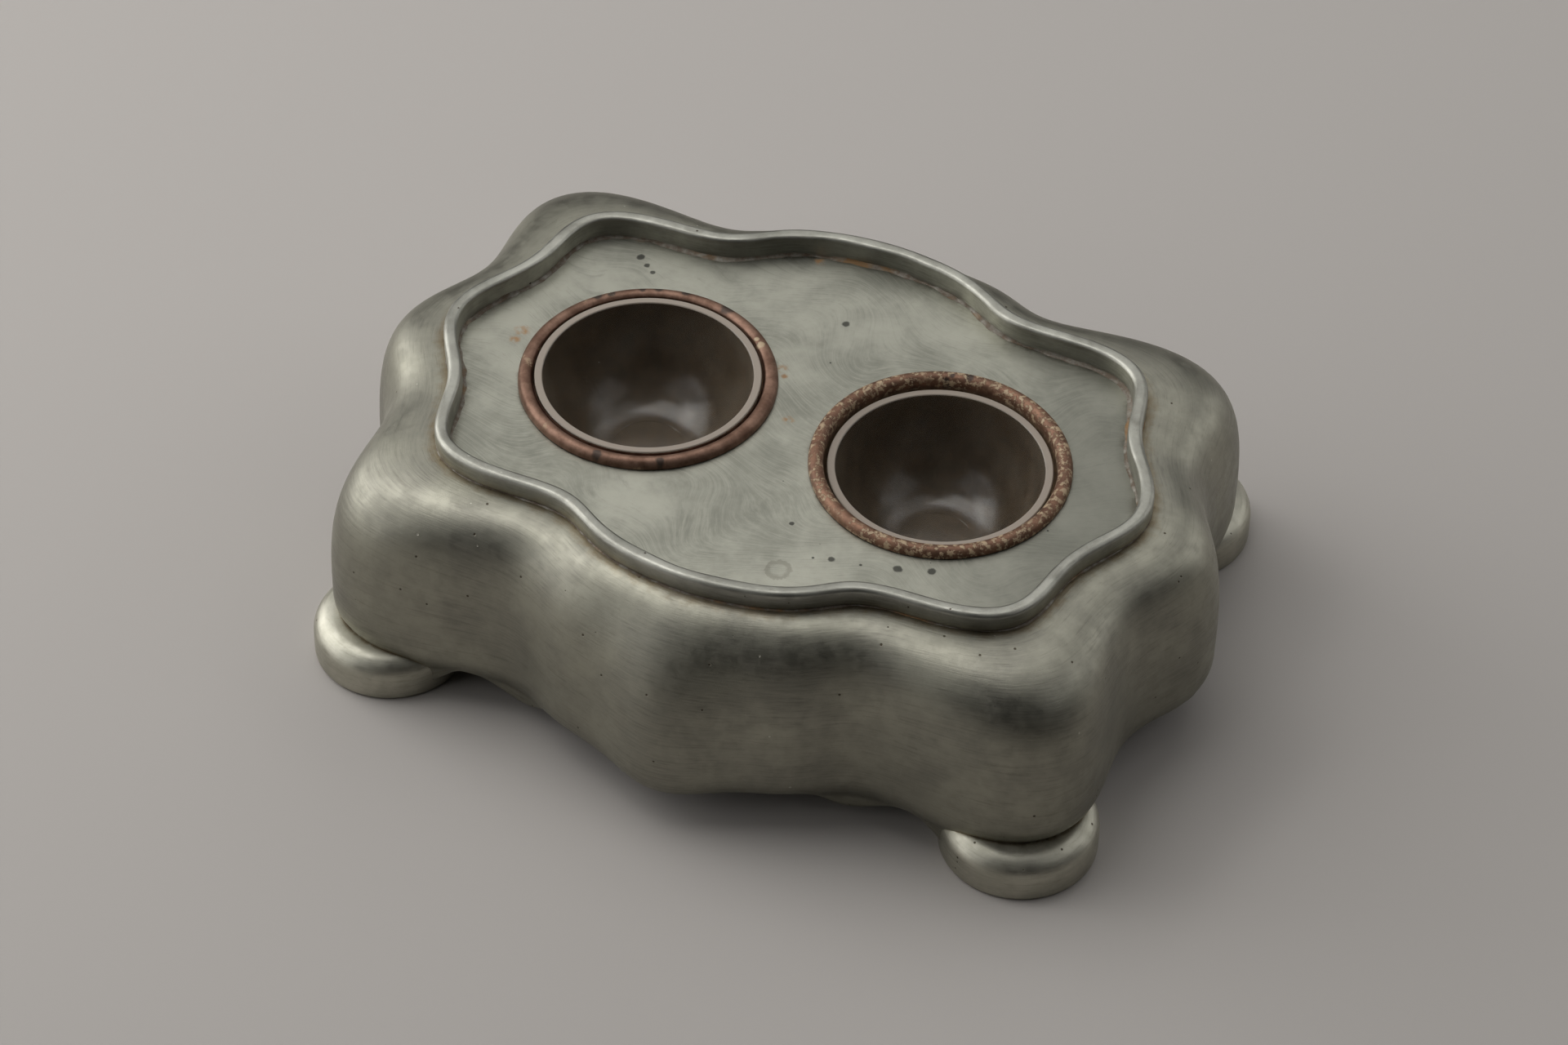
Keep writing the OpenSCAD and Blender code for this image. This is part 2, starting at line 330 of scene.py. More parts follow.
def wander(angle: float, size: float, seed: float) -> float:
    """Gives a soft random value round a ring, from about -1 to 1, which meets itself after a whole turn.

    Args:
        angle: The place round the ring, in radians.
        size: How many bumps there are in a radian.
        seed: Which of the random patterns it is.

    Returns:
        The value.
    """
    return noise.noise(Vector((math.cos(angle) * size, math.sin(angle) * size, seed))) * 1.8


def even_points(points: Sequence[Vector], count: int) -> list[Vector]:
    """Spaces points evenly along a line that is given by many points.

    Args:
        points: The line.
        count: How many parts it is cut into.

    Returns:
        The ends of the parts, one more than count.
    """
    lengths = [0.0]
    for first, second in zip(points, points[1:]):
        lengths.append(lengths[-1] + (second - first).length)
    result: list[Vector] = []
    at = 0
    for i in range(count + 1):
        wanted = lengths[-1] * i / count
        while at < len(points) - 2 and lengths[at + 1] < wanted:
            at += 1
        span = max(lengths[at + 1] - lengths[at], 1e-9)
        result.append(points[at].lerp(points[at + 1], (wanted - lengths[at]) / span))
    return result


Section = Callable[[float], list[Vector]]


def finished(mesh: bmesh.types.BMesh, name: str, sharp_degrees: float = 50.0) -> bpy.types.Object:
    """Turns a bmesh into a smooth-shaded object at the origin, with its normals outward.

    Args:
        mesh: The bmesh, which is freed.
        name: The piece's name.
        sharp_degrees: Edges that turn by more than this stay crisp.

    Returns:
        The object.
    """
    bmesh.ops.remove_doubles(mesh, verts=mesh.verts, dist=1e-7)
    bmesh.ops.recalc_face_normals(mesh, faces=mesh.faces)
    for face in mesh.faces:
        face.smooth = True
    for edge in mesh.edges:
        if edge.is_manifold and edge.calc_face_angle(0.0) > math.radians(sharp_degrees):
            edge.smooth = False
    data = bpy.data.meshes.new(name)
    mesh.to_mesh(data)
    mesh.free()
    piece = bpy.data.objects.new(name, data)
    bpy.context.scene.collection.objects.link(piece)
    return piece


def ring_through(name: str, section: Section, around: int, limits: tuple[Vector, Vector]) -> bpy.types.Object:
    """Makes a closed ring whose section changes as it goes round.

    A circle is extruded once for each point of the section, and the last ring is bridged to the first. Two
    attributes follow the surface: flow, a place in which the first two values go round the ring and the third
    goes along the section, for marks that run round; and up_share, how far along the section a point is.

    Args:
        name: The piece's name.
        section: Gives the section's points at an angle, in millimetres, always as many.
        around: How many sections there are.
        limits: The lowest and highest corner that the ring may reach, in metres.

    Returns:
        The piece.
    """
    sections = [section(math.tau * i / around) for i in range(around)]
    count = len(sections[0])
    lengths = [0.0] * count
    for i in range(1, count):
        lengths[i] = lengths[i - 1] + (sections[0][i] - sections[0][i - 1]).length
    mesh = bmesh.new()
    order = mesh.verts.layers.int.new("order")
    flow = mesh.verts.layers.float_vector.new("flow")
    share = mesh.verts.layers.float.new("up_share")
    first = bmesh.ops.create_circle(mesh, segments=around, radius=1.0)["verts"]
    for i, vert in enumerate(first):
        vert[order] = i

    def place(verts: Iterable[bmesh.types.BMVert], step: int) -> None:
        """Puts one ring of vertices where the sections say."""
        for vert in verts:
            angle = math.tau * vert[order] / around
            point = sections[vert[order]][step] * MM
            vert.co = [min(max(v, low), high) for v, low, high in zip(point, *limits)]
            reach = 0.09
            vert[flow] = (reach * math.cos(angle), reach * math.sin(angle), lengths[step] * MM)
            vert[share] = step / (count - 1)

    place(first, 0)
    edges = list(mesh.edges)
    start_edges = edges
    for step in range(1, count):
        made = bmesh.ops.extrude_edge_only(mesh, edges=edges)["geom"]
        edges = [g for g in made if isinstance(g, bmesh.types.BMEdge)]
        place([g for g in made if isinstance(g, bmesh.types.BMVert)], step)
    bmesh.ops.bridge_loops(mesh, edges=start_edges + edges)
    return finished(mesh, name)


def turned(name: str, profile: Sequence[tuple[float, float]], centre: Vector, segments: int,
           sharp_degrees: float = 50.0) -> bpy.types.Object:
    """Turns a closed profile round an upright axis, as on a lathe.

    Args:
        name: The piece's name.
        profile: Radius and height of each point, in millimetres, from one end of the axis to the other, or
            round a closed loop whose first point is given again at its end.
        centre: A point of the axis, in millimetres.
        segments: How many steps there are in the turn.
        sharp_degrees: Edges that turn by more than this stay crisp.

    Returns:
        The piece.
    """
    mesh = bmesh.new()
    verts = [mesh.verts.new((centre + Vector((radius, 0, height))) * MM) for radius, height in profile]
    edges = [mesh.edges.new(pair) for pair in zip(verts, verts[1:])]
    bmesh.ops.spin(mesh, geom=verts + edges, cent=centre * MM, axis=(0, 0, 1), angle=math.tau,
                   steps=segments, use_merge=True)
    return finished(mesh, name, sharp_degrees)


def arc(centre: tuple[float, float], radius: float, start: float, end: float, steps: int,
        ) -> list[tuple[float, float]]:
    """Gives the points of a rounded edge.

    Args:
        centre: The middle of the rounding.
        radius: Its radius.
        start: The angle of the first point, in degrees.
        end: The angle of the last point, in degrees.
        steps: How many steps there are between them.

    Returns:
        The points.
    """
    angles = [math.radians(mix(start, end, i / steps)) for i in range(steps + 1)]
    return [(centre[0] + radius * math.cos(a), centre[1] + radius * math.sin(a)) for a in angles]


def dress(piece: bpy.types.Object, material: bpy.types.Material, body: Body, slot: str,
          *replaced: str) -> bpy.types.Object:
    """Gives a new piece its material, the body that it rides on and the CAD nodes that it stands for.

    Args:
        piece: The new piece.
        material: Its finish.
        body: The CAD body that it moves with.
        slot: The name of a material slot; it is not used.
        *replaced: The CAD nodes that it stands for.

    Returns:
        The piece.
    """
    piece.data.materials.append(material)
    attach(piece, body.value)
    if replaced:
        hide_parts(*replaced)
    LOG.info("%s: %d faces, rides on %s", piece.name, len(piece.data.polygons), body.value)
    return piece


# ---------------------------------------------------------------------------------------------------------
# Sub-assemblies
# ---------------------------------------------------------------------------------------------------------

@dataclass(frozen=True)
class Levels:
    """Heights and widths in millimetres at which the pieces meet."""

    top: float = 58.8
    groove: float = 53.6
    deck: float = 52.8
    ledge: float = 50.8
    flange_base: float = 53.0
    flange_top: float = 55.1
    rim_width: float = 3.3
    rim_draft: float = 0.5
    foot_x: float = 77.51
    foot_y: float = 54.20
    foot_radius: float = 18.0
    foot_height: float = 11.0
    foot_round: float = 5.0
    leg_end: float = 3.0
    well_x: float = 36.0


@dataclass
class BodyShell:
    """The hollow lobed body, cast in one piece, open below."""

    levels: Levels = field(default_factory=Levels)
    around: int = 360
    wall: float = 3.0
    edge_level: float = 10.3
    widest_level: float = 15.0
    tuck_level: float = 8.0
    shoulder_full: float = 3.3
    shoulder_soft: float = 1.9
    side_power: float = 8.0
    edge_tuck: float = 2.1
    corner_tuck: float = 6.1
    corner_lobe: float = 33.5
    tuck_width: float = 10.0
    tuck_power: float = 2.2
    edge_drops: tuple[tuple[float, float, float], ...] = ((3.8, 0.0, 13.0), (6.5, 57.5, 9.5), (1.6, 90.0, 32.0))
    leg_slope: float = 7.0
    flow_reach: float = 4.0
    flow_level: float = 10.0
    ledge_width: float = 4.0
    ledge_thickness: float = 2.5
    inner_reach: float = 2.0

    def near(self, angle: float, middle: float, width: float) -> float:
        """Gives a share that is full at one angle in each quarter and falls off on both sides.

        Args:
            angle: The place round the body, in radians.
            middle: Where the share is 1, in degrees from the middle of an end.
            width: How many degrees from there it is 0.

        Returns:
            The share.
        """
        quarter = math.degrees(math.asin(min(abs(math.sin(angle)), 1.0)))
        return smooth(1 - abs(quarter - middle) / width)

    def tuck(self, angle: float) -> float:
        """Gives how far the wall draws in on its way down."""
        return mix(self.edge_tuck, self.corner_tuck, self.near(angle, self.corner_lobe, self.tuck_width))

    def edge_height(self, angle: float) -> float:
        """Gives the height of the bottom edge, which hangs lower in places and comes down beside the feet."""
        place, lv = BODY_OUTLINE.point(angle, self.tuck(angle)), self.levels
        from_foot = math.hypot(abs(place.x) - lv.foot_x, abs(place.y) - lv.foot_y)
        drop = sum(size * self.near(angle, middle, width) for size, middle, width in self.edge_drops)
        return mix(lv.leg_end, self.edge_level - drop, smooth((from_foot - lv.foot_radius) / self.leg_slope))

    def meet_foot(self, point: Vector) -> Vector:
        """Draws a low point of the wall in to the side of a foot, so that the leg flows into it."""
        lv = self.levels
        foot = Vector((math.copysign(lv.foot_x, point.x), math.copysign(lv.foot_y, point.y), point.z))
        out = point - foot
        beyond = out.length - lv.foot_radius
        if not 0 < beyond < self.flow_reach:
            return point
        low = smooth((self.flow_level - point.z) / (self.flow_level - lv.leg_end))
        return point - out.normalized() * beyond * low * (1 - smooth(beyond / self.flow_reach))

    def lower_wall(self, angle: float, inset: float, steps: int) -> list[Vector]:
        """Gives the wall's points from the bottom edge up to the widest level.

        Args:
            angle: The place round the body.
            inset: How far inside the outline the wall is.
            steps: How many steps it is cut into.

        Returns:
            The points, from below.
        """
        low, tuck = self.edge_height(angle), self.tuck(angle)
        points = []
        for i in range(steps + 1):
            height = mix(low, self.widest_level, i / steps)
            below = min((self.widest_level - height) / (self.widest_level - self.tuck_level), 1.0)
            point = BODY_OUTLINE.point(angle, inset + tuck * below ** self.tuck_power)
            points.append(self.meet_foot(Vector((point.x, point.y, height))))
        return points

    def shoulder(self, angle: float, inset: float, top_inset: float, top: float, steps: int) -> list[Vector]:
        """Gives the shoulder's points from the widest level up to the rim.

        Args:
            angle: The place round the body.
            inset: How far inside the body's outline the wall is.
            top_inset: How far inside the rim's outline it ends.
            top: The height at which it ends.
            steps: How many steps it is cut into.

        Returns:
            The points, from below.
        """
        full = mix(self.shoulder_full, self.shoulder_soft, abs(math.sin(angle)) ** self.side_power)
        outer, inner = BODY_OUTLINE.point(angle, inset), RIM_OUTLINE.point(angle, top_inset)
        fine = []
        for i in range(241):
            turn = math.pi / 2 * i / 240
            out, up = math.cos(turn) ** (2 / full) if i < 240 else 0.0, math.sin(turn) ** (2 / full)
            point = inner.lerp(outer, out)
            fine.append(Vector((point.x, point.y, mix(self.widest_level, top, up))))
        return even_points(fine, steps)

    def section(self, angle: float) -> list[Vector]:
        """Gives the wall's closed section, up the outside and down the inside."""
        lv = self.levels
        rim_foot = lv.rim_draft - 0.1
        outside = self.lower_wall(angle, 0, 11)[:-1] + self.shoulder(angle, 0, rim_foot, lv.groove, 34)
        ledge = [RIM_OUTLINE.point(angle, inset) + Vector((0, 0, height)) for inset, height in (
            (rim_foot, lv.ledge), (lv.rim_width + self.ledge_width, lv.ledge),
            (lv.rim_width + self.ledge_width, lv.ledge - self.ledge_thickness))]
        inside = self.shoulder(angle, self.wall, -self.inner_reach, lv.ledge - self.ledge_thickness, 14)
        lower_inside = self.lower_wall(angle, self.wall, 6)[:-1]
        points = outside + ledge + inside[::-1] + lower_inside[::-1]
        return self.soften_edge(points)

    def soften_edge(self, points: list[Vector]) -> list[Vector]:
        """Rounds the bottom edge by drawing its two corners up a little.

        Args:
            points: The section, which starts and ends at the bottom edge.

        Returns:
            The section with a rounded bottom edge.
        """
        outer, inner = points[0], points[-1]
        across = (inner - outer) / self.wall
        outer_up = (points[1] - outer).normalized()
        inner_up = (points[-2] - inner).normalized()
        return ([outer + across * 0.2 + outer_up * 0.15, outer + outer_up * 0.6] + points[1:-1]
                + [inner + inner_up * 0.6, inner - across * 0.2 + inner_up * 0.15])

    def build(self, finish: bpy.types.Material) -> None:
        """Builds the body and dresses it.

        Args:
            finish: The body's material.
        """
        piece = ring_through("cast_body", self.section, self.around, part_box("body_shell"))
        self.mark_joins(piece)
        dress(piece, finish, Body.STAND, "pewter", "body_shell")

    def mark_joins(self, piece: bpy.types.Object) -> None:
        """Stores how many millimetres each point is from the rim's groove and from the top of a foot.

        Args:
            piece: The body.
        """
        lv = self.levels
        gaps: dict[str, list[float]] = {"rim_gap": [], "foot_gap": []}
        for vert in piece.data.vertices:
            x, y, z = vert.co / MM
            rim = RIM_OUTLINE.point(math.atan2(y, x), lv.rim_draft)
            gaps["rim_gap"].append(math.hypot(math.hypot(x - rim.x, y - rim.y), z - lv.groove))
            reach = math.hypot(abs(x) - lv.foot_x, abs(y) - lv.foot_y)
            beyond = max(reach - (lv.foot_radius - lv.foot_round), 0.0)
            above = max(z - (lv.foot_height - lv.foot_round), 0.0)
            flank = 1 - smooth((z - lv.leg_end - 2) / 5)
            gaps["foot_gap"].append(math.hypot(beyond, above) - lv.foot_round + 6 * flank)
        for name, values in gaps.items():
            piece.data.attributes.new(name, "FLOAT", "POINT").data.foreach_set("value", values)


@dataclass
class RimCollar:
    """The raised rim round the deck, with the solder that holds it."""

    levels: Levels = field(default_factory=Levels)
    around: int = 420
    rounding: float = 1.2
    unevenness: float = 0.22

    def section(self, angle: float) -> list[Vector]:
        """Gives the rim's closed section, up the outside and down the inside."""
        lv = self.levels
        top = lv.top - self.unevenness * (0.5 + 0.5 * wander(angle, 5, 3.1))
        lean = 0.25 * wander(angle, 4, 8.4)
        width = lv.rim_width + 0.25 * wander(angle, 6, 5.7)
        outer = [(lv.rim_draft, lv.ledge), (lv.rim_draft, lv.groove), (lv.rim_draft * 0.4, lv.groove + 0.35),
                 (0.05, lv.groove + 0.9), (max(lean, 0) * 0.2, top - 2.4)]
        rounded = [(self.rounding - x, top - self.rounding + z) for x, z in arc((0, 0), self.rounding, 0, 90, 6)]
        back = [(width - self.rounding * 0.8 + x, top - self.rounding * 0.8 + z - 0.1)
                for x, z in arc((0, 0), self.rounding * 0.8, 90, 0, 6)]
        inner = [(width, top - 2.4), (lv.rim_width, lv.deck + 1.0), (lv.rim_width, lv.ledge)]
        return [RIM_OUTLINE.point(angle, inset) + Vector((0, 0, height))
                for inset, height in outer + rounded + back + inner]

    def seam(self, inset: float, height: float, inward: float, size: float, seed: float) -> Section:
        """Gives the section of an uneven solder seam in a corner of the rim.

        Args:
            inset: Where the corner is, measured in from the rim's outline.
            height: The corner's height.
            inward: 1 if the seam lies inside the rim and -1 if it lies outside.
            size: The seam's mean leg.
            seed: Which random pattern it takes.

        Returns:
            A function that gives the section at an angle.
        """
        def section(angle: float) -> list[Vector]:
            """Gives the seam's section at an angle."""
            run = size * (0.85 + 0.5 * wander(angle, 7, seed) + 0.3 * wander(angle, 26, seed + 1))
            rise = size * (0.7 + 0.45 * wander(angle, 8, seed + 2) + 0.25 * wander(angle, 30, seed + 3))
            run, rise = max(run, 0.15), max(rise, 0.12)
            profile = [(-0.15, -0.15), (run, -0.15), (run, 0.03), (run * 0.55, rise * 0.2),
                       (run * 0.2, rise * 0.55), (0.03, rise), (-0.15, rise)]
            return [RIM_OUTLINE.point(angle, inset + inward * out) + Vector((0, 0, height + up))
                    for out, up in profile]
        return section

    def build(self, finish: bpy.types.Material, solder: bpy.types.Material) -> None:
        """Builds the rim and its two seams and dresses them.

        Args:
            finish: The rim's material.
            solder: The seams' material.
        """
        lv = self.levels
        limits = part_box("rim_collar")
        rim = ring_through("rim_collar_band", self.section, self.around, limits)
        dress(rim, finish, Body.STAND, "pewter_rim", "rim_collar")
        inside = ring_through("deck_solder_seam", self.seam(lv.rim_width, lv.deck, 1, 0.9, 11.0), 720, CAD_BOX)
        dress(inside, solder, Body.STAND, "pewter_deck")
        outside = ring_through("rim_solder_seam", self.seam(lv.rim_draft * 0.9, lv.groove - 0.05, -1, 0.6, 23.0),
                               720, CAD_BOX)
        dress(outside, solder, Body.STAND, "pewter_rim")


@dataclass
class Feet:
    """The four toe-shaped feet under the corners."""

    levels: Levels = field(default_factory=Levels)
    toe: float = 1.0
    segments: int = 96

    def build(self, finish: bpy.types.Material) -> None:
        """Turns the four feet and dresses them.

        Args:
            finish: The feet's material.
        """
        lv = self.levels
        profile = ([(0, 0)] + arc((lv.foot_radius - self.toe, self.toe), self.toe, -90, 0, 5)
                   + arc((lv.foot_radius - lv.foot_round, lv.foot_height - lv.foot_round), lv.foot_round,
                         0, 90, 14) + [(0, lv.foot_height)])
        for depth_name, front in (("front", -1), ("back", 1)):
            for side_name, side in (("left", -1), ("right", 1)):
                name = f"{depth_name}_{side_name}_toe"
                centre = Vector((side * lv.foot_x, front * lv.foot_y, 0))
                foot = turned(name, profile, centre, self.segments, 75)
                dress(foot, finish, Body.STAND, "pewter_foot", f"{depth_name}_{side_name}_foot")


@dataclass
class Well:
    """One copper cup with its glass bowl."""

    side: Side
    glass_radius: float
    drop: float
    levels: Levels = field(default_factory=Levels)
    cup_inner: float = 26.55
    copper: float = 0.8
    flange_radius: float = 30.0
    glass_depth: float = 23.0
    glass_bottom: float = 2.6
    glass_wall: float = 1.9
    glass_flat: float = 8.5
    glass_mark: float = 0.1
    rest_gap: float = 0.2
    segments: int = 160
    curve_steps: int = 28

    @property
    def centre(self) -> Vector:
        """The middle of the well on the table, in millimetres."""
        sign = -1 if self.side is Side.LEFT else 1
        return Vector((sign * self.levels.well_x, 0, 0))

    def bowl(self, radius: float, flat: float, top: float, depth: float) -> list[tuple[float, float]]:
        """Gives a bowl's wall, from its upright top to the flat of its bottom.

        Args:
            radius: The bowl's radius at the top.
            flat: The radius of the flat.
            top: The height of its top.
            depth: How deep it is.

        Returns:
            The wall's points.
        """
        turns = [math.pi / 2 * i / self.curve_steps for i in range(self.curve_steps + 1)]
        return [(flat + (radius - flat) * math.cos(t), top - depth * math.sin(t)) for t in turns]

    def build(self, copper: bpy.types.Material, glass: bpy.types.Material) -> None:
        """Builds the cup and the bowl and dresses them.

        Args:
            copper: The cup's material.
            glass: The bowl's material.
        """
        lv, name = self.levels, self.side.value
        top = lv.flange_top - self.drop
        depth = self.glass_depth + self.glass_bottom + self.rest_gap
        flat = self.glass_flat + self.glass_wall
        half = (self.flange_radius - self.cup_inner) / 2
        outside = self.bowl(self.cup_inner + self.copper, flat, top, depth + self.copper)[::-1]
        bead = [(self.cup_inner + half * (1 + math.cos(t)), lv.flange_base + 2.1 * math.sin(t) ** 0.8)
                for t in [math.pi * i / 20 for i in range(21)]]
        cup_profile = ([(0, top - depth - self.copper)] + outside
                       + [(self.cup_inner + self.copper, lv.flange_base)] + bead
                       + self.bowl(self.cup_inner, flat, top, depth) + [(0, top - depth)])
        cup = turned(f"{name}_copper_cup", cup_profile, self.centre, self.segments)
        dress(cup, copper, Body(f"{name}_cup"), f"copper_{name}", f"{name}_cup")
        wall_in = self.glass_radius - self.glass_wall
        chamfer = 0.25
        glass_profile = ([(0, top - self.glass_depth - self.glass_bottom)]
                         + self.bowl(self.glass_radius, flat, top - chamfer,
                                     self.glass_depth + self.glass_bottom - chamfer)[::-1]
                         + [(self.glass_radius - chamfer, top), (wall_in + chamfer, top)]
                         + self.bowl(wall_in, self.glass_flat, top - chamfer, self.glass_depth - chamfer)
                         + [(self.glass_flat - 0.15, top - self.glass_depth - self.glass_mark),
                            (0, top - self.glass_depth - self.glass_mark)])
        bowl = turned(f"{name}_glass_bowl", glass_profile, self.centre, self.segments, 30)
        dress(bowl, glass, Body(f"{name}_glass"), "glass", f"{name}_glass")


# ---------------------------------------------------------------------------------------------------------
# Finishes
# ---------------------------------------------------------------------------------------------------------

@dataclass(frozen=True)
class CastPewter:
    """Cast pewter, a soft tin alloy: filed, scraped and rubbed by hand, it shines like satin.

    The rubbed metal is a warm grey with a green cast, a little uneven in tone. Files and brushes leave fine
    marks that run round the body, casting leaves small pits, and brown dirt stays in the joins; on the rim and toes
    that dark in the joins is laid by an occlusion mask, so it is painted shade as well as dirt.
    """

    name: str = "cast_pewter"
    bright: str = "#9b998b"
    dull: str = "#87857a"
    worn: str = "#cfccbf"
    stain: str = "#7a6748"
    dirt: str = "#3a2e1f"
    roughness: float = 0.45
    tone_mm: float = 15.0
    mark_mm: float = 0.5
    mark_depth_mm: float = 0.045
    dent_mm: float = 0.02
    pit_share: float = 0.14
    is_body: bool = True

    def dirty(self, s: Surface) -> tuple[Socket, Socket]:
        """Finds where dirt lies: in the groove under the rim and the creases over the feet, or, on the rim and
        toes, in corners, where an occlusion mask paints shade along with the dirt.

        Args:
            s: The material under construction.

        Returns:
            The share of thin brown stain, and the share of thick dirt.
        """
        ragged = s.cloud(2.4, 6, 0.65)
        if not self.is_body:
            # painted shade with dirt: the occlusion mask darkens the corners and joins of the rim and toes
            corner = s.combine("MULTIPLY", s.crevice_dirt_and_shade(1.2), s.step(ragged, 0.3, 0.62, 0.2, 1.0))
            return s.step(corner, 0.1, 0.7, 0.0, 0.5), s.step(corner, 0.6, 1.0, 0.0, 0.35)
        rim, foot = (s.add("Math", {0: ragged, 1: -spread, 2: s.add(
            "Attribute", attribute_name=name).outputs["Fac"]}, operation="MULTIPLY_ADD").outputs[0]
            for name, spread in (("rim_gap", 6.0), ("foot_gap", 3.0)))
        stain = s.combine("MAXIMUM", s.step(rim, -2.9, 0.6, 0.6, 0.0), s.step(foot, -1.3, -0.2, 0.55, 0.0))
        dirt = s.combine("MAXIMUM", s.step(rim, -3.7, -2.4, 0.55, 0.0), s.step(foot, -1.7, -1.2, 0.4, 0.0))
        return stain, dirt

    def make(self) -> bpy.types.Material:
        """Makes the material."""
        s = Surface(self.name)
        tone = s.step(s.cloud(self.tone_mm, 5, 0.6), 0.34, 0.66)
        patch = s.step(s.cloud(4.0, 6, 0.65), 0.35, 0.7)
        flow = s.add("Attribute", attribute_name="flow").outputs["Vector"] if self.is_body else s.place
        stretched = s.add("Mapping", {"Vector": flow, "Scale": (1, 1, 16)}).outputs[0]
        marks = s.add("TexNoise", {"Vector": stretched, "Scale": per_metre(self.mark_mm * 16), "Detail": 5.0,
                                   "Roughness": 0.7}).outputs[0]
        colour = s.tint(tone, linear(self.dull), linear(self.bright))
        colour = s.tint(s.combine("MULTIPLY", patch, 0.4), colour, linear(self.dull))
        colour = s.tint(s.step(marks, 0.42, 0.66, 0.0, 0.4), colour, linear(self.bright))
        colour = s.tint(s.step(marks, 0.34, 0.46, 0.16, 0.0), colour, linear(self.dirt))
        dings = s.specks(4.7, 0.34, 0.16)
        colour = s.tint(s.combine("MULTIPLY", dings, 0.45), colour, linear(self.worn))
        pits = s.specks(3.1, 0.36, self.pit_share)
        colour = s.tint(s.combine("MULTIPLY", pits, 0.8), colour, linear(self.dirt))
        stain, dirt = self.dirty(s)
        # brown stain and dirt; on the rim and toes they also paint the shade of the corners
        colour = s.tint(dirt, s.tint(stain, colour, linear(self.stain)), linear(self.dirt))
        rough = s.add("MapRange", {"Value": patch, "To Min": self.roughness - 0.04,
                                   "To Max": self.roughness + 0.09}).outputs[0]
        s.feed(Base_Color=colour, Metallic=s.step(dirt, 0.0, 0.9, 1.0, 0.5),
               Roughness=s.combine("MAXIMUM", rough, s.combine("MULTIPLY", dirt, 0.7)))
        s.bump([(s.cloud(8.0, 2), self.dent_mm), (s.cloud(2.2, 3), self.dent_mm * 0.4),
                (marks, self.mark_depth_mm), (pits, -0.06), (dings, -0.04)])
        return s.material


@dataclass(frozen=True)
class DeckPewter:
    """Pewter sheet, brushed flat by hand: grey with swirling fine marks, ink spots and rust-brown stains, with
    painted shade in its corners next to the rim, seam and cups, and towards the right end.

    The ink spots and rust stains lie where the wells were filled and wiped, in millimetres from the middle.
    """

    name: str = "brushed_pewter_sheet"
    bright: str = "#acab9e"
    dull: str = "#86867b"
    right_end_shade: str = "#62625a"
    ink: str = "#2d2d2a"
    stain: str = "#96692f"
    dirt: str = "#3f3322"
    roughness: float = 0.40
    ink_spots: tuple[tuple[float, float, float], ...] = (
        (-1.2, 35.8, 1.1), (12.1, -30.4, 0.7), (24.4, -37.4, 1.0), (39.0, -34.5, 1.3), (46.2, -32.2, 1.2),
        (-54.5, 38.5, 1.2), (-52.0, 36.4, 0.9), (-49.8, 34.6, 0.8), (20.5, -38.6, 0.4), (31.0, -36.5, 0.4))
    rust_stains: tuple[tuple[float, float, float], ...] = (
        (-69.5, 3.9, 2.4), (-69.9, 0.5, 1.8), (-9.0, 15.6, 1.9), (-7.6, 13.6, 1.2), (-1.3, 0.2, 1.8),
        (-57.4, 45.6, 3.0), (-14.8, 54.2, 2.2))
    ring_mark: tuple[float, float, float] = (14.8, -45.1, 3.2)

    def make(self) -> bpy.types.Material:
        """Makes the material."""
        s = Surface(self.name)
        warp = s.add("TexNoise", {"Vector": s.place, "Scale": per_metre(45), "Detail": 1.0}).outputs["Color"]
        swirled = s.add("VectorMath", {0: warp, "Scale": 0.06}, operation="SCALE").outputs[0]
        swirled = s.add("VectorMath", {0: s.place, 1: swirled}, operation="ADD").outputs[0]
        along = s.add("Mapping", {"Vector": swirled, "Scale": (1, 14, 1)}).outputs[0]
        marks = s.add("TexNoise", {"Vector": along, "Scale": per_metre(8), "Detail": 7.0,
                                   "Roughness": 0.72}).outputs[0]
        tone = s.step(s.cloud(20, 6, 0.62), 0.32, 0.68)
        colour = s.tint(tone, linear(self.dull), linear(self.bright))
        colour = s.tint(s.step(marks, 0.4, 0.68, 0.0, 0.55), colour, linear(self.bright))
        colour = s.tint(s.step(marks, 0.34, 0.44, 0.4, 0.0), colour, linear(self.dull))
        # painted shade: the deck's colour darkens towards the right end, away from the lamps
        rightward = s.add("SeparateXYZ", {0: s.place}).outputs["X"]
        colour = s.tint(s.step(rightward, 30 * MM, 78 * MM, 0.0, 0.6), colour, linear(self.right_end_shade))
        # painted shade with dirt: an occlusion mask darkens the deck beside the rim, seam and cups, broken up by a
        # cloud
        corner = s.combine("MULTIPLY", s.crevice_dirt_and_shade(5.0), s.step(s.cloud(9.0, 6, 0.65), 0.42, 0.6))
        colour = s.tint(s.step(corner, 0.05, 0.8, 0.0, 0.55), colour, linear(self.dirt))
        ghost = s.combine("SUBTRACT", s.marks_at([self.ring_mark], 0.1), s.marks_at([self.ring_mark[:2] + (2.3,)]))
        colour = s.tint(s.combine("MULTIPLY", ghost, 0.25), colour, linear(self.dirt))
        rust = s.combine("MULTIPLY", s.marks_at(self.rust_stains, 0.8), s.step(s.cloud(1.6, 5), 0.35, 0.6))
        colour = s.tint(s.combine("MULTIPLY", rust, 0.8), colour, linear(self.stain))
        ink = s.combine("MAXIMUM", s.marks_at(self.ink_spots), s.specks(5.0, 0.3, 0.1, 0.4))
        colour = s.tint(s.combine("MULTIPLY", ink, 0.8), colour, linear(self.ink))
        rough = s.add("MapRange", {"Value": marks, "To Min": self.roughness - 0.06,
                                   "To Max": self.roughness + 0.12}).outputs[0]
        s.feed(Base_Color=colour, Metallic=s.combine("SUBTRACT", 1.0, rust), Roughness=rough)
        s.bump([(s.cloud(30.0, 2), 0.3), (marks, 0.03), (ink, -0.03)])
        return s.material


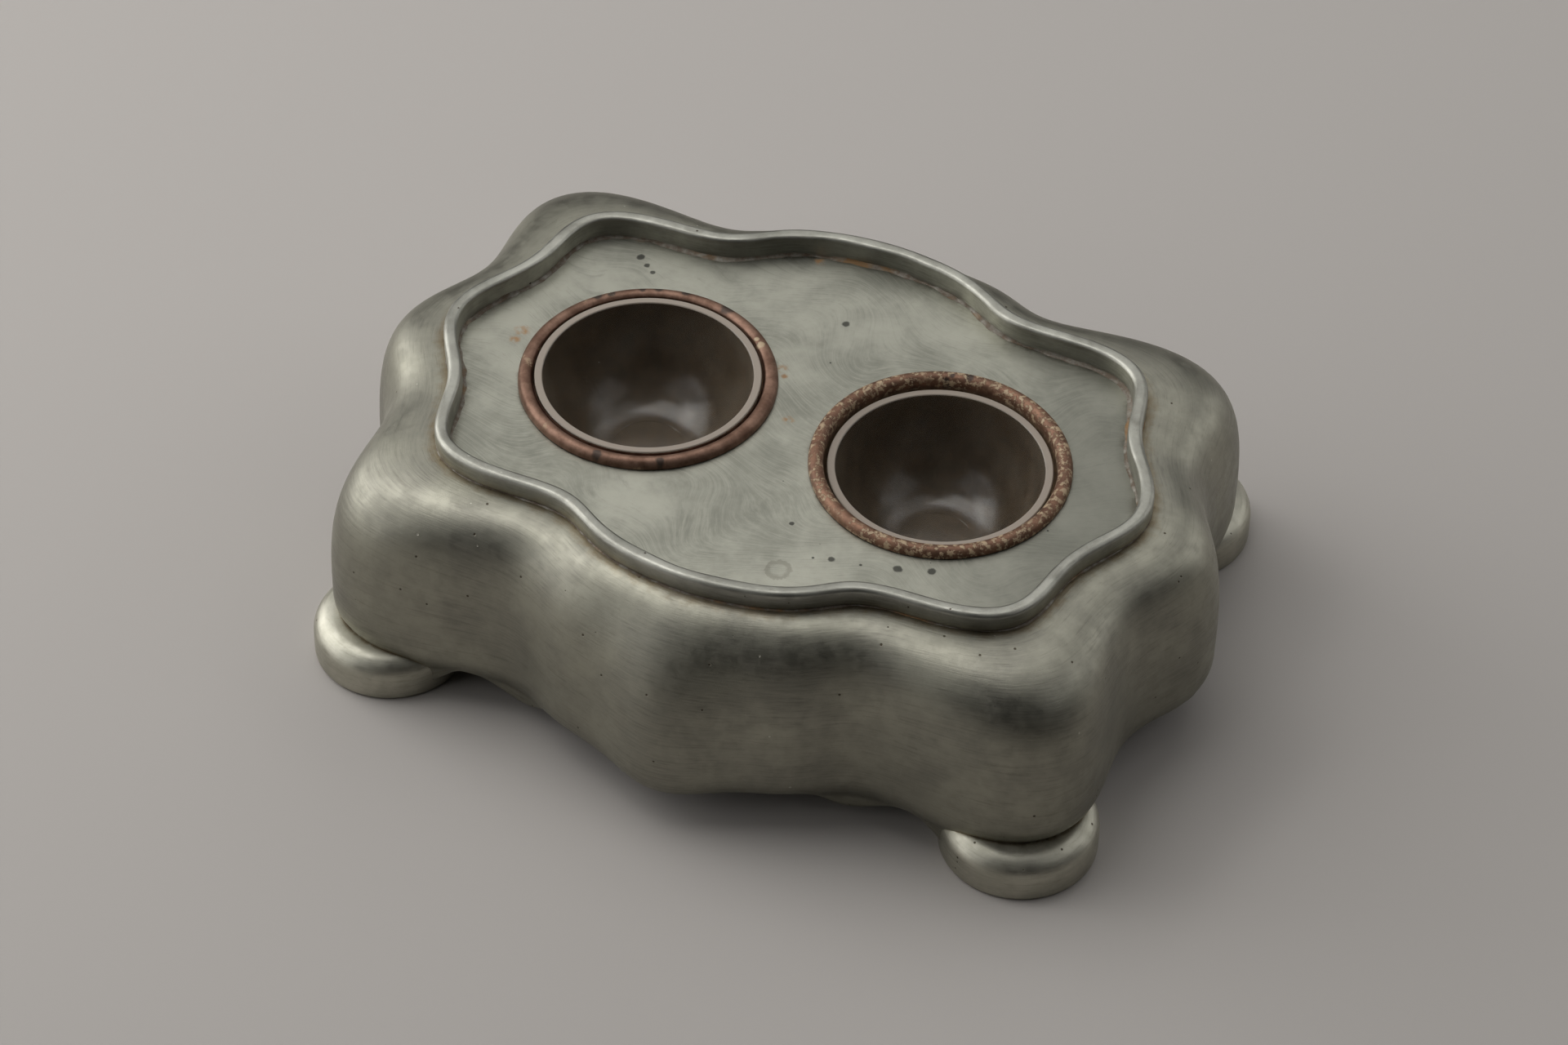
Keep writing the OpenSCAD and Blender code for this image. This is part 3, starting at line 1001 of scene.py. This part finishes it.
@dataclass(frozen=True)
class Solder:
    """Old tin solder with dirt packed into it: dull and rough, brown to rust-yellow in places."""

    name: str = "dirty_tin_solder"
    metal: str = "#96938a"
    dirt: str = "#655848"
    rust: str = "#8a6431"

    def make(self) -> bpy.types.Material:
        """Makes the material."""
        s = Surface(self.name)
        dirty = s.step(s.cloud(2.2, 6, 0.65), 0.32, 0.58)
        colour = s.tint(dirty, linear(self.metal), linear(self.dirt))
        rust = s.step(s.cloud(13.0, 4, 0.6), 0.56, 0.68)
        colour = s.tint(s.combine("MULTIPLY", rust, 0.7), colour, linear(self.rust))
        s.feed(Base_Color=colour, Metallic=s.step(dirty, 0.2, 0.9, 0.8, 0.1), Roughness=0.65)
        s.bump([(s.cloud(0.8, 5, 0.7), 0.12)])
        return s.material


@dataclass(frozen=True)
class Copper:
    """Spun copper sheet, long tarnished: a dull red-brown skin with dark spots, pale crusts and ink inside."""

    name: str = "tarnished_copper"
    bright: str = "#8d6f5e"
    dull: str = "#674c3d"
    spot: str = "#37332f"
    crust: str = "#bba585"
    inside: str = "#7a6046"
    inside_dark: str = "#574431"
    crust_share: float = 0.04
    roughness: float = 0.5
    dark_spots: tuple[tuple[float, float, float], ...] = ()
    pale_spots: tuple[tuple[float, float, float], ...] = ()
    levels: Levels = field(default_factory=Levels)

    def make(self) -> bpy.types.Material:
        """Makes the material."""
        s = Surface(self.name)
        tone = s.step(s.cloud(4.0, 6, 0.68), 0.32, 0.68)
        colour = s.tint(tone, linear(self.dull), linear(self.bright))
        dark = s.combine("MAXIMUM", s.marks_at(self.dark_spots, 0.5), s.specks(4.2, 0.5, 0.1, 0.45))
        colour = s.tint(s.combine("MULTIPLY", dark, 0.8), colour, linear(self.spot))
        crusted = s.step(s.cloud(14.0, 3), 0.66 - self.crust_share, 0.74 - self.crust_share)
        crust = s.combine("MULTIPLY", s.step(s.cloud(1.3, 5, 0.7), 0.5, 0.58), crusted)
        crust = s.combine("MAXIMUM", crust, s.marks_at(self.pale_spots, 0.5))
        colour = s.tint(s.combine("MULTIPLY", crust, 0.75), colour, linear(self.crust))
        inner = s.tint(tone, linear(self.inside_dark), linear(self.inside))
        height = s.add("SeparateXYZ", {0: s.place}).outputs["Z"]
        sunk = s.step(height, (self.levels.deck - 1.5) * MM, (self.levels.deck + 0.3) * MM, 1.0, 0.0)
        colour = s.tint(sunk, colour, inner)
        clean = s.combine("MULTIPLY", s.step(crust, 0.0, 1.0, 0.7, 0.1), s.combine("SUBTRACT", 1.0, sunk))
        s.feed(Base_Color=colour, Metallic=clean, Roughness=s.step(sunk, 0.0, 1.0, self.roughness, 0.8))
        s.bump([(s.cloud(2.5, 5, 0.6), 0.06), (crust, 0.08), (dark, -0.03)])
        return s.material


@dataclass(frozen=True)
class BowlGlass:
    """Moulded clear glass with a ground rim: walls dulled by dried ink, a matt pale edge and some white dust."""

    name: str = "clear_moulded_glass"
    tint_colour: str = "#ebe6d8"
    ground: str = "#a3978a"
    dust: str = "#d8d4ca"
    film: str = "#8f8373"
    film_share: float = 0.18
    rim_height: float = 54.8

    def make(self) -> bpy.types.Material:
        """Makes the material."""
        s = Surface(self.name)
        s.feed(Base_Color=linear(self.tint_colour), Transmission_Weight=1.0, Roughness=0.2, IOR=1.5,
               Specular_IOR_Level=0.3)
        ground = s.add("BsdfPrincipled", {"Base Color": linear(self.ground), "Roughness": 0.7})
        powder = s.add("BsdfDiffuse", {"Color": linear(self.dust)})
        film = s.add("BsdfDiffuse", {"Color": linear(self.film)})
        height = s.add("SeparateXYZ", {0: s.place}).outputs["Z"]
        on_rim = s.step(height, (self.rim_height - 0.3) * MM, (self.rim_height - 0.05) * MM)
        thin = s.step(s.cloud(9.0, 4), 0.3, 0.7, self.film_share * 0.6, self.film_share * 1.4)
        covers = ((thin, film), (s.specks(3.6, 0.16, 0.06, 0.4), powder),
                  (s.combine("MULTIPLY", on_rim, 0.85), ground))
        shown = s.shader.outputs[0]
        for share, cover in covers:
            shown = s.add("MixShader", {0: share, 1: shown, 2: cover.outputs[0]}).outputs[0]
        s.tree.links.new(shown, s.output.inputs["Surface"])
        return s.material


@dataclass(frozen=True)
class Tabletop:
    """Matt grey card, as a photographer's table has."""

    name: str = "matt_grey_card"
    colour: str = "#b1aca7"

    def make(self) -> bpy.types.Material:
        """Makes the material."""
        s = Surface(self.name)
        s.feed(Base_Color=linear(self.colour), Roughness=0.9)
        return s.material


# ---------------------------------------------------------------------------------------------------------
# Studio
# ---------------------------------------------------------------------------------------------------------

@dataclass
class Studio:
    """The table, the soft lamps and the camera."""

    lens: float = 105.56
    sensor: float = 36.0
    elevation: float = 44.75
    yaw: float = -21.19
    roll: float = -1.42
    distance_mm: float = 1047.9
    aim_mm: tuple[float, float, float] = (0.0, 0.0, 54.98)
    offset_mm: tuple[float, float] = (2.085, 24.40)
    lamp_away: float = 1.3

    def camera(self) -> None:
        """Sets the camera where the photograph's one stood."""
        data = bpy.data.cameras.new("camera")
        data.lens, data.sensor_width = self.lens, self.sensor
        data.clip_start, data.clip_end = 0.05, 50.0
        c, s = math.cos(math.radians(self.yaw)), math.sin(math.radians(self.yaw))
        ce, se = math.cos(math.radians(self.elevation)), math.sin(math.radians(self.elevation))
        right, up, back = Vector((c, -s, 0)), Vector((s * se, c * se, ce)), Vector((-s * ce, -c * ce, se))
        cr, sr = math.cos(math.radians(self.roll)), math.sin(math.radians(self.roll))
        image_right, image_up = right * cr - up * sr, right * sr + up * cr
        place = (Vector(self.aim_mm) + back * self.distance_mm - image_right * self.offset_mm[0]
                 - image_up * self.offset_mm[1]) * MM
        camera = bpy.data.objects.new("camera", data)
        turn = Matrix((image_right, image_up, back)).transposed().to_4x4()
        camera.matrix_world = Matrix.Translation(place) @ turn
        bpy.context.scene.collection.objects.link(camera)
        bpy.context.scene.camera = camera

    def lamp(self, name: str, bearing: float, height: float, size: tuple[float, float], radiance: float) -> None:
        """Hangs a soft rectangular lamp that faces the inkstand.

        Args:
            name: The lamp's name.
            bearing: Its direction from the front, in degrees to the right.
            height: Its angle above the table, in degrees.
            size: Its width and height in metres.
            radiance: How bright its face is; a white card lit to full white has 1.
        """
        turn, rise = math.radians(bearing), math.radians(height)
        place = Vector((math.sin(turn) * math.cos(rise), -math.cos(turn) * math.cos(rise), math.sin(rise))) * self.lamp_away
        data = bpy.data.lights.new(name, "AREA")
        data.shape, data.size, data.size_y = "RECTANGLE", size[0], size[1]
        data.energy = radiance * math.pi * size[0] * size[1]
        lamp = bpy.data.objects.new(name, data)
        lamp.location = place
        lamp.rotation_euler = (-place).to_track_quat("-Z", "Y").to_euler()
        bpy.context.scene.collection.objects.link(lamp)

    def table(self) -> None:
        """Lays the table."""
        mesh = bmesh.new()
        bmesh.ops.create_grid(mesh, x_segments=1, y_segments=1, size=4.0)
        floor = finished(mesh, "table")
        floor.data.materials.append(Tabletop().make())

    def light(self) -> None:
        """Lights the table from the left and above, with weaker lamps round it in a dark room."""
        world = bpy.data.worlds.new("room")
        bpy.context.scene.world = world
        world.use_nodes = True
        world.node_tree.nodes["Background"].inputs["Color"].default_value = linear("#8f8f8f")
        world.node_tree.nodes["Background"].inputs["Strength"].default_value = 0.03
        for name, bearing, height, size, radiance in (
                ("left_softbox", -92, 15, (1.0, 0.8), 2.75), ("high_left_softbox", -95, 45, (1.0, 0.8), 2.1),
                ("front_left_softbox", -52, 15, (0.8, 0.8), 1.25), ("high_front_fill", -45, 45, (1.0, 0.8), 0.5),
                ("overhead_softbox", -110, 70, (0.8, 0.8), 2.2), ("back_overhead_fill", 160, 70, (0.8, 0.8), 0.6),
                ("back_fill", -172, 45, (1.0, 0.8), 0.8), ("right_fill", 95, 45, (1.0, 0.8), 0.5),
                ("low_right_fill", 135, 15, (1.0, 0.8), 1.0), ("high_right_fill", 135, 45, (1.0, 0.8), 0.3)):
            self.lamp(name, bearing, height, size, radiance)
        bpy.context.scene.view_settings.view_transform = "Standard"

    def build(self) -> None:
        """Sets up the table, the light and the camera."""
        self.table()
        self.light()
        self.camera()


# ---------------------------------------------------------------------------------------------------------
# The stand
# ---------------------------------------------------------------------------------------------------------


def main() -> None:
    """Builds the inkstand, dresses it and sets up the studio."""
    logging.basicConfig(level=logging.INFO, format="%(name)s: %(message)s")
    noise.seed_set(7)
    solder = Solder().make()
    BodyShell().build(CastPewter().make())
    RimCollar().build(CastPewter(name="rubbed_pewter_rim", bright="#b1b0a6", dull="#8f8e85",
                                 is_body=False).make(), solder)
    # painted highlight: the toes take a lighter copy of the cast pewter, standing for the light on their tops
    Feet().build(CastPewter(name="cast_pewter_toes_painted_light", bright="#bdbaac", dull="#a19f91", pit_share=0.2,
                            is_body=False).make())
    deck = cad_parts["deck_plate"]
    deck.data.materials.clear()
    deck.data.materials.append(DeckPewter().make())
    left_copper = Copper(
        dark_spots=((-57.5, 19.6, 1.6), (-54.7, 21.7, 1.3), (-48.6, 25.9, 1.1), (-45.2, 27.7, 1.5),
                    (-38.7, 29.0, 1.5), (-27.7, 27.3, 2.0), (-36.0, -29.0, 1.4), (-22.0, -25.5, 1.2)),
        pale_spots=((-15.8, 19.1, 1.3), (-17.4, 20.6, 0.8)))
    right_copper = Copper(name="crusted_copper", crust_share=0.3, bright="#866551",
                          dark_spots=((27.9, 25.2, 1.1), (28.6, 27.0, 0.9), (32.5, 27.9, 1.4)),
                          pale_spots=((65.2, 1.5, 1.0), (60.9, 15.6, 0.9), (57.0, 20.0, 0.8)))
    Well(Side.LEFT, 26.2, 0.3).build(left_copper.make(), BowlGlass(name="left_bowl_glass").make())
    Well(Side.RIGHT, 25.7, 2.6).build(right_copper.make(), BowlGlass(name="right_bowl_glass",
                                                                     rim_height=52.5).make())
    Studio().build()


if __name__ == "__main__":
    main()
